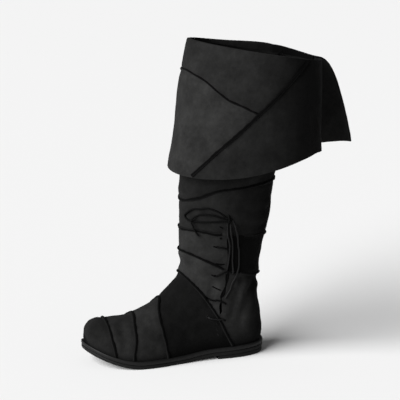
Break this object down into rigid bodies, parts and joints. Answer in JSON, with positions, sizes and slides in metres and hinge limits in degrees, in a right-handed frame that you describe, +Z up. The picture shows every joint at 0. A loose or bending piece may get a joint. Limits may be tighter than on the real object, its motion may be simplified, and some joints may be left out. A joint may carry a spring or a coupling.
{
  "type": "pirate boot",
  "caption": "Tall left suede patchwork boot with a turned-down split cuff, raised seams, side lacing over a gusset and a low stacked heel.",
  "frame": {"origin": "middle of the heel's flat ground face", "axes": "+Z up; the toe points along -X; the outer side of the foot, with the lacing, is -Y"},
  "size_m": [0.4438, 0.2101, 0.4924],
  "materials": {
    "suede": "brushed suede nap, near black",
    "gusset_suede": "soft suede, near black",
    "outsole_rubber": "matt moulded rubber",
    "midsole_leather": "dyed and burnished edge",
    "insole_leather": "plain lining leather",
    "lace_cord": "round waxed cotton cord, black"
  },
  "bodies": {
    "root": {"upper": "suede", "cuff": "suede", "gusset": "gusset_suede", "outsole": "outsole_rubber", "midsole": "midsole_leather", "insole": "insole_leather", "heel": "outsole_rubber", "lace_crossings": "lace_cord", "lace_knot": "lace_cord", "lace_loop": "lace_cord", "lace_end": "lace_cord", "lace_tail": "lace_cord"}
  },
  "joints": []
}
